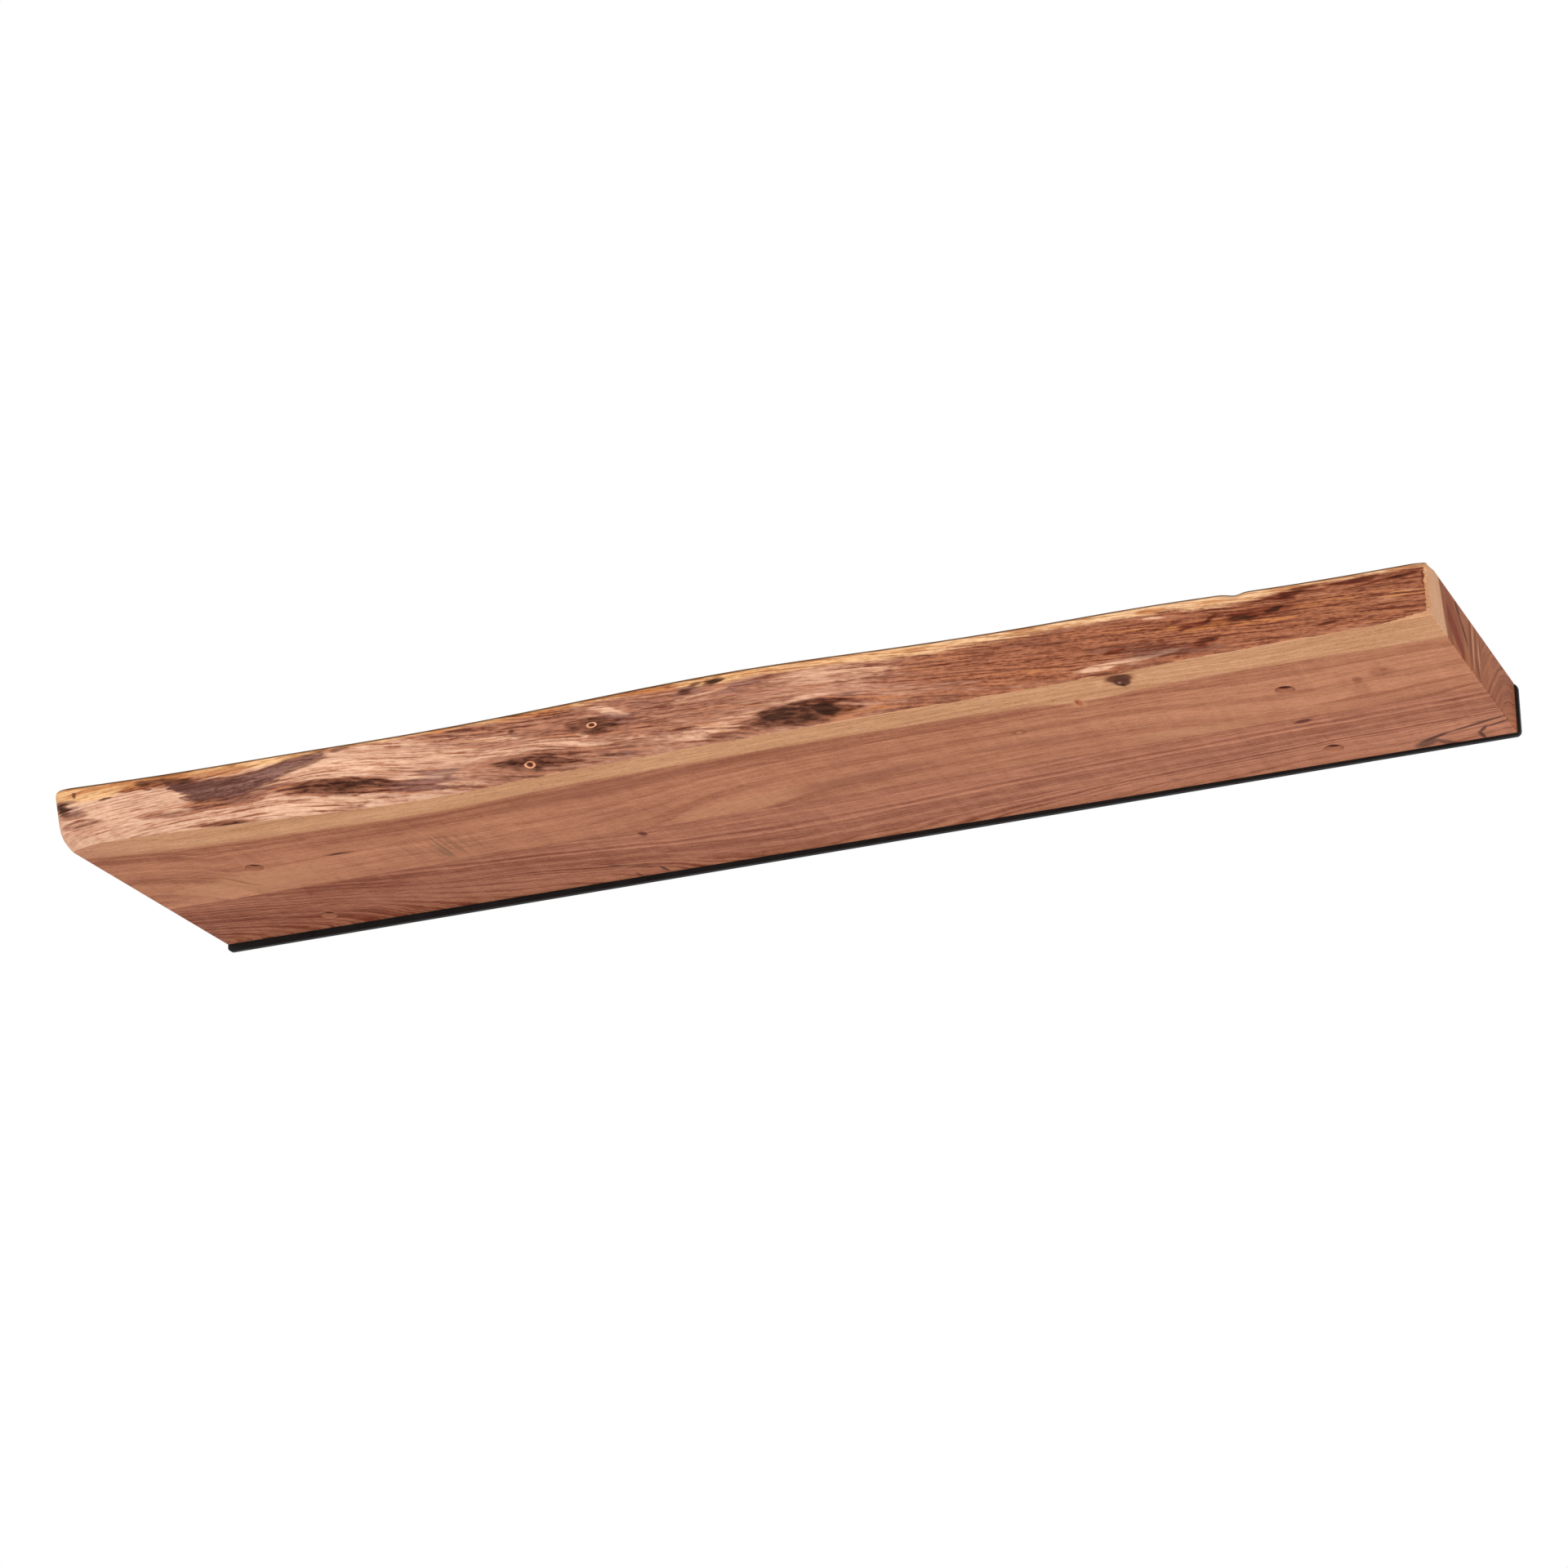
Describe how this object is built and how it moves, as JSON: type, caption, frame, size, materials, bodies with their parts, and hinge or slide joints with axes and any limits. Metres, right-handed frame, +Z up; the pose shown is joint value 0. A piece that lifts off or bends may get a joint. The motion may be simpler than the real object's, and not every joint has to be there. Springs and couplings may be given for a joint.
{
  "type": "floating wall shelf",
  "caption": "Floating wall shelf: thick live-edge hardwood board that slides onto the round arms of a hidden steel wall plate and is locked from below.",
  "frame": {"origin": "on the wall plane, at the height of the bracket's arms and halfway along the board, where the rows of wall screws have their middle", "axes": "+X along the shelf, to the right as seen from the room; +Y into the wall; +Z up"},
  "size_m": [1.1023, 0.2725, 0.0459],
  "materials": {
    "light_stave": "oiled hardwood, pale sapwood band along the live edge",
    "dark_stave": "oiled hardwood, reddish-brown heartwood",
    "black_steel": "black powder coat, satin",
    "zinc": "bright zinc plate",
    "dark_screw": "black oxide"
  },
  "bodies": {
    "bracket": {"wall_plate": "black_steel", "arm_left": "black_steel", "arm_right": "black_steel"},
    "board": {"live_edge_stave": "light_stave", "back_stave": "dark_stave", "insert_left_front": "zinc", "insert_left_rear": "zinc", "insert_right_front": "zinc", "insert_right_rear": "zinc", "set_screw_left_front": "dark_screw", "set_screw_left_rear": "dark_screw", "set_screw_right_front": "dark_screw", "set_screw_right_rear": "dark_screw"}
  },
  "joints": [
    {"name": "board_slide", "type": "slide", "parent": "bracket", "child": "board", "axis": [0, -1, 0], "range_m": [0, 0.16]}
  ]
}
